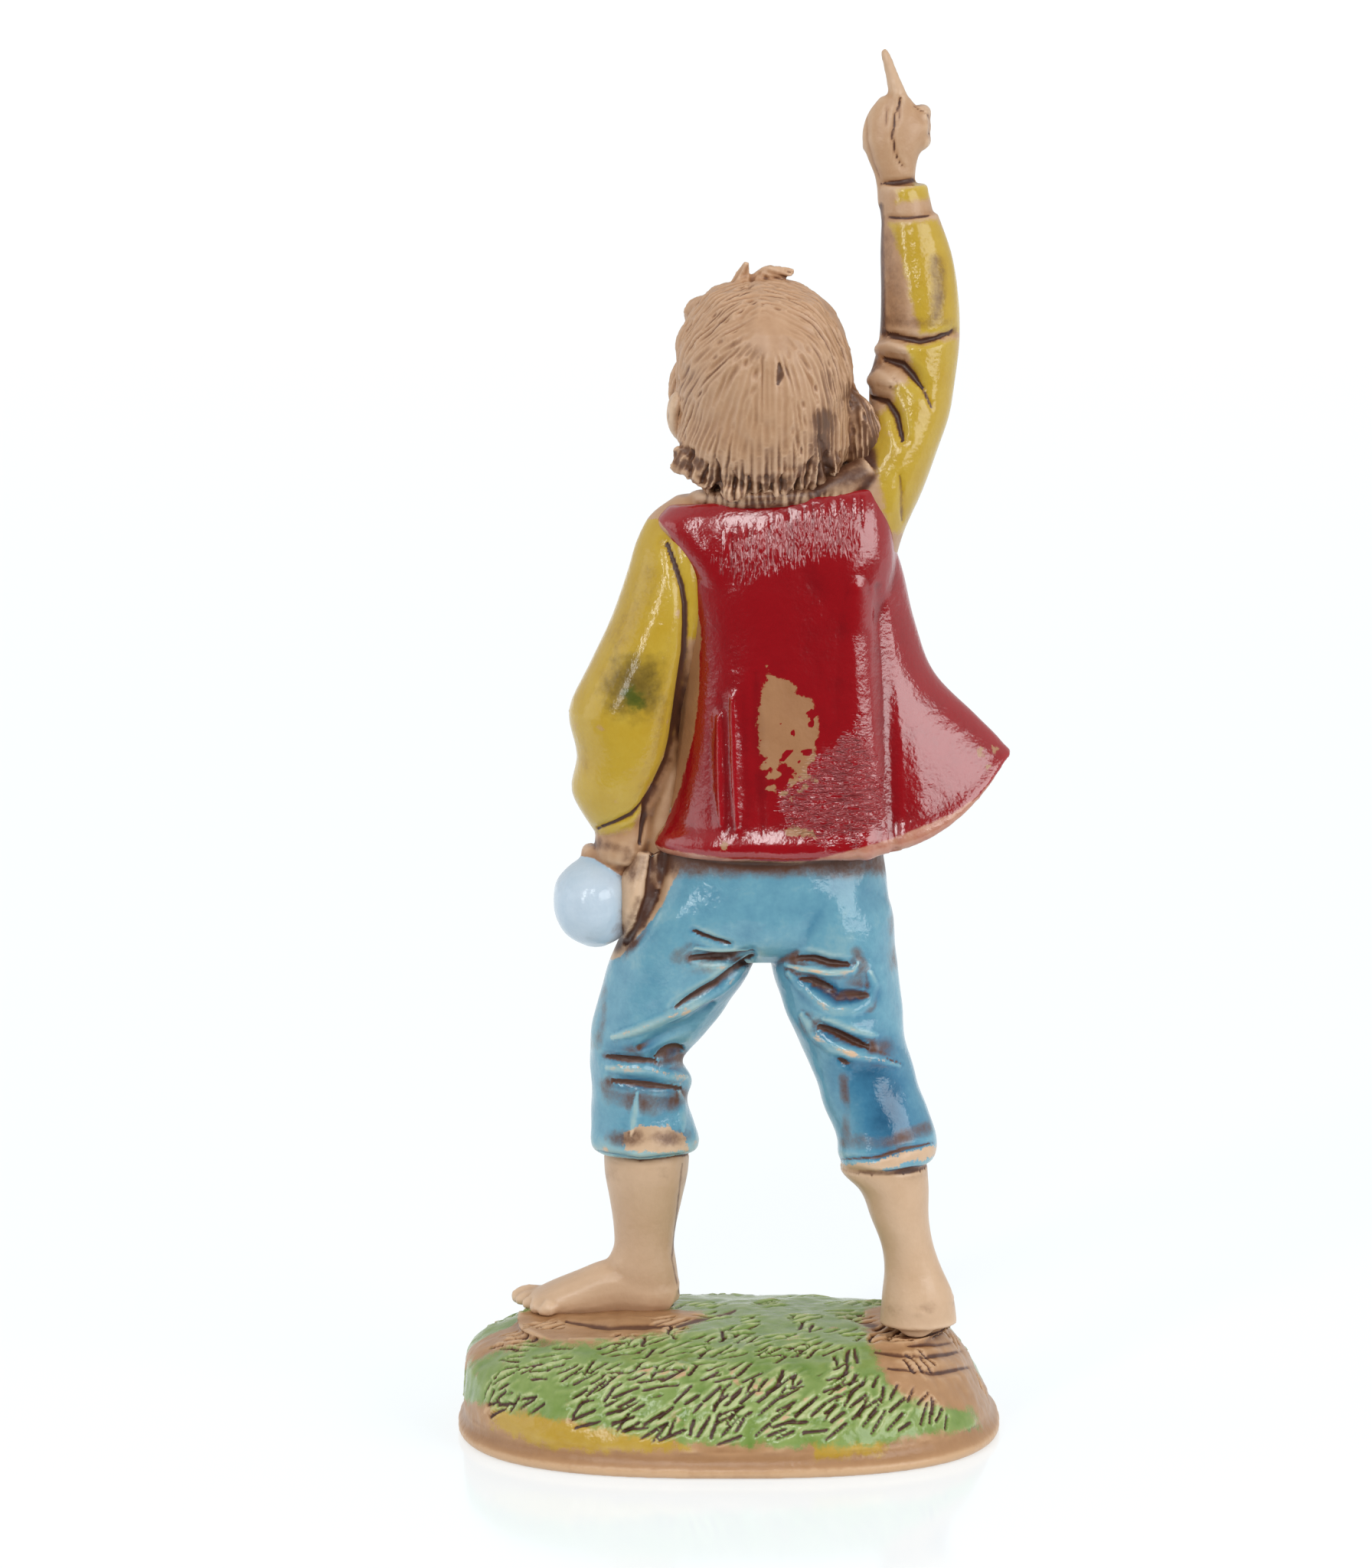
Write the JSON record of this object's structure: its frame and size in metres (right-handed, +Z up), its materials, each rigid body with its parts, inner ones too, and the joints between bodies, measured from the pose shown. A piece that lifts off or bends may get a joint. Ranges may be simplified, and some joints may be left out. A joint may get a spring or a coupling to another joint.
{
  "type": "nativity figurine",
  "caption": "Moulded plastic nativity figurine of a barefoot shepherd boy pointing up, in a flared vest, on an oval grassy mound.",
  "frame": {"origin": "centre of the base's flat underside", "axes": "+Z up through the figure, +Y the way the boy's body faces, +X to his right (the raised arm's side)"},
  "size_m": [0.0416, 0.0322, 0.1045],
  "materials": {
    "painted_plastic": "flesh-coloured plastic under glossy hand paint with a brown wash"
  },
  "bodies": {
    "root": {"figurine": "painted_plastic"}
  },
  "joints": []
}
